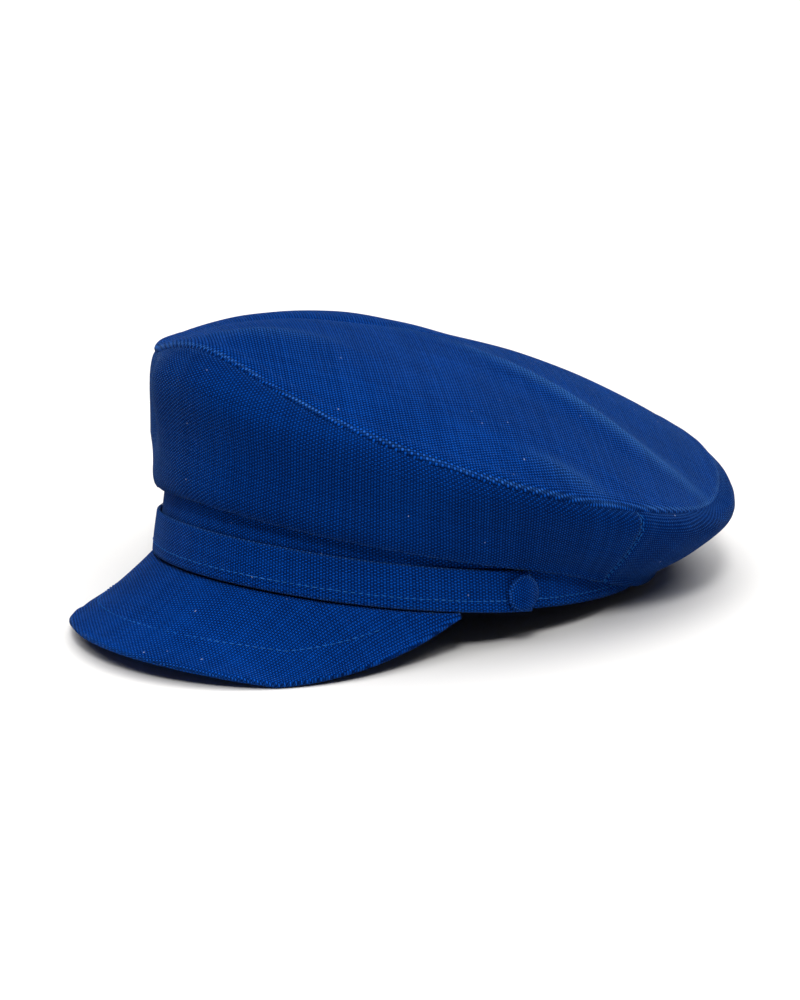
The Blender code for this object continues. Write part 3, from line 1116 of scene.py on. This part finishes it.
def makeButton(name, node, hand):
    turn = hand * button["turn"]
    strapFront = cap["bandWall"] + cap["strapWall"] + 2 * cap["gap"]
    seat = bandPoint(turn, button["rise"], strapFront) + cap["middle"]
    out = ovalPoint(turn, 0.0)[1]
    mesh = bmesh.new()
    radius = button["radius"]
    profile = [mesh.verts.new((0, 0, 0)), mesh.verts.new((radius * button["foot"], 0, 0))]
    for k in range(button["domeRows"] + 1):
        angle = math.pi / 2 * k / button["domeRows"]
        dome = math.sin(angle) ** button["domeShape"]
        height = button["height"] * (button["edge"] + (1 - button["edge"]) * dome)
        profile.append(mesh.verts.new((radius * math.cos(angle), 0, height)))
    edges = [mesh.edges.new(pair) for pair in zip(profile, profile[1:])]
    bmesh.ops.spin(
        mesh, geom=profile + edges, axis=(0, 0, 1), cent=(0, 0, 0), dvec=(0, 0, 0),
        angle=2 * math.pi, steps=button["steps"], use_merge=True,
    )
    bmesh.ops.remove_doubles(mesh, verts=mesh.verts, dist=0.000002)
    bmesh.ops.recalc_face_normals(mesh, faces=mesh.faces)
    cloth = mesh.loops.layers.uv.new("cloth")
    rubbedAndLit = mesh.verts.layers.float.new("wearAndHighlight")
    for face in mesh.faces:
        for loop in face.loops:
            loop[cloth].uv = (loop.vert.co.x, loop.vert.co.y)
    for vert in mesh.verts:
        away = math.hypot(vert.co.x, vert.co.y)
        gather = math.cos(button["gathers"] * math.atan2(vert.co.y, vert.co.x)) * button["gatherDepth"]
        if away > radius * button["gatherStart"]:
            vert.co.z += gather * (away / radius - button["gatherStart"])
        vert[rubbedAndLit] = lighterLine(away / radius, *button["edgeWear"])
    lean = math.pi / 2 - math.atan2(cap["bandLean"], cap["bandHeight"])
    turned = Matrix.Rotation(math.atan2(out.x, -out.y), 4, "Z") @ Matrix.Rotation(lean, 4, "X")
    bmesh.ops.transform(mesh, matrix=Matrix.Translation(seat) @ turned, verts=mesh.verts)
    piece = meshPiece(name, mesh)
    piece.data.materials.append(buttonCanvas)
    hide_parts(node)


makeButton("button_left_cover", "button_left", 1)
makeButton("button_right_cover", "button_right", -1)
print("buttons done")

# floor, light and camera as the cap was photographed
studio = {
    "floor": (0.75, 0.74, 0.725),
    "floorRoughness": 0.9,
    "floorSize": 30.0,
    "world": 0.06,
    # power, spread in degrees and the way to each lamp
    "lamps": {
        "window": (1.35, 12.0, (0.62, -0.56, 1.0)),
        "overhead": (4.0, 86.0, (0.05, -0.05, 1.0)),
    },
    "lens": 120.6,
    "sensor": 36,
    "distance": 1.25251,
    "turn": 41.84,
    "rise": 16.58,
    "slide": (-0.00248, 0.03189),
}
floorMesh = bmesh.new()
bmesh.ops.create_grid(floorMesh, x_segments=1, y_segments=1, size=studio["floorSize"])
floorData = bpy.data.meshes.new("floor")
floorMesh.to_mesh(floorData)
floorMesh.free()
floor = bpy.data.objects.new("floor", floorData)
bpy.context.scene.collection.objects.link(floor)
floorPaper = bpy.data.materials.new("floor paper")
floorPaper.use_nodes = True
paper = floorPaper.node_tree.nodes["Principled BSDF"]
paper.inputs["Base Color"].default_value = (*studio["floor"], 1)
paper.inputs["Roughness"].default_value = studio["floorRoughness"]
floor.data.materials.append(floorPaper)

world = bpy.data.worlds.new("studio")
world.use_nodes = True
sky = world.node_tree.nodes["Background"]
sky.inputs["Color"].default_value = (1, 1, 1, 1)
sky.inputs["Strength"].default_value = studio["world"]
bpy.context.scene.world = world

for name, (power, spread, way) in studio["lamps"].items():
    lampData = bpy.data.lights.new(name, "SUN")
    lampData.energy = power
    lampData.angle = math.radians(spread)
    lamp = bpy.data.objects.new(name, lampData)
    lamp.rotation_mode = "QUATERNION"
    lamp.rotation_quaternion = Vector(way).to_track_quat("Z", "Y")
    bpy.context.scene.collection.objects.link(lamp)

turn = math.radians(studio["turn"])
rise = math.radians(studio["rise"])
back = Vector((math.cos(turn) * math.cos(rise), -math.sin(turn) * math.cos(rise), math.sin(rise)))
right = Vector((math.sin(turn), math.cos(turn), 0))
up = back.cross(right)
camera = bpy.data.objects.new("camera", bpy.data.cameras.new("camera"))
camera.data.lens = studio["lens"]
camera.data.sensor_width = studio["sensor"]
camera.rotation_mode = "QUATERNION"
camera.rotation_quaternion = Matrix((right, up, back)).transposed().to_quaternion()
slideRight, slideUp = studio["slide"]
camera.location = back * studio["distance"] + right * slideRight + up * slideUp + cap["middle"]
bpy.context.scene.collection.objects.link(camera)
bpy.context.scene.camera = camera
bpy.context.scene.view_settings.view_transform = "Standard"
print("studio done")
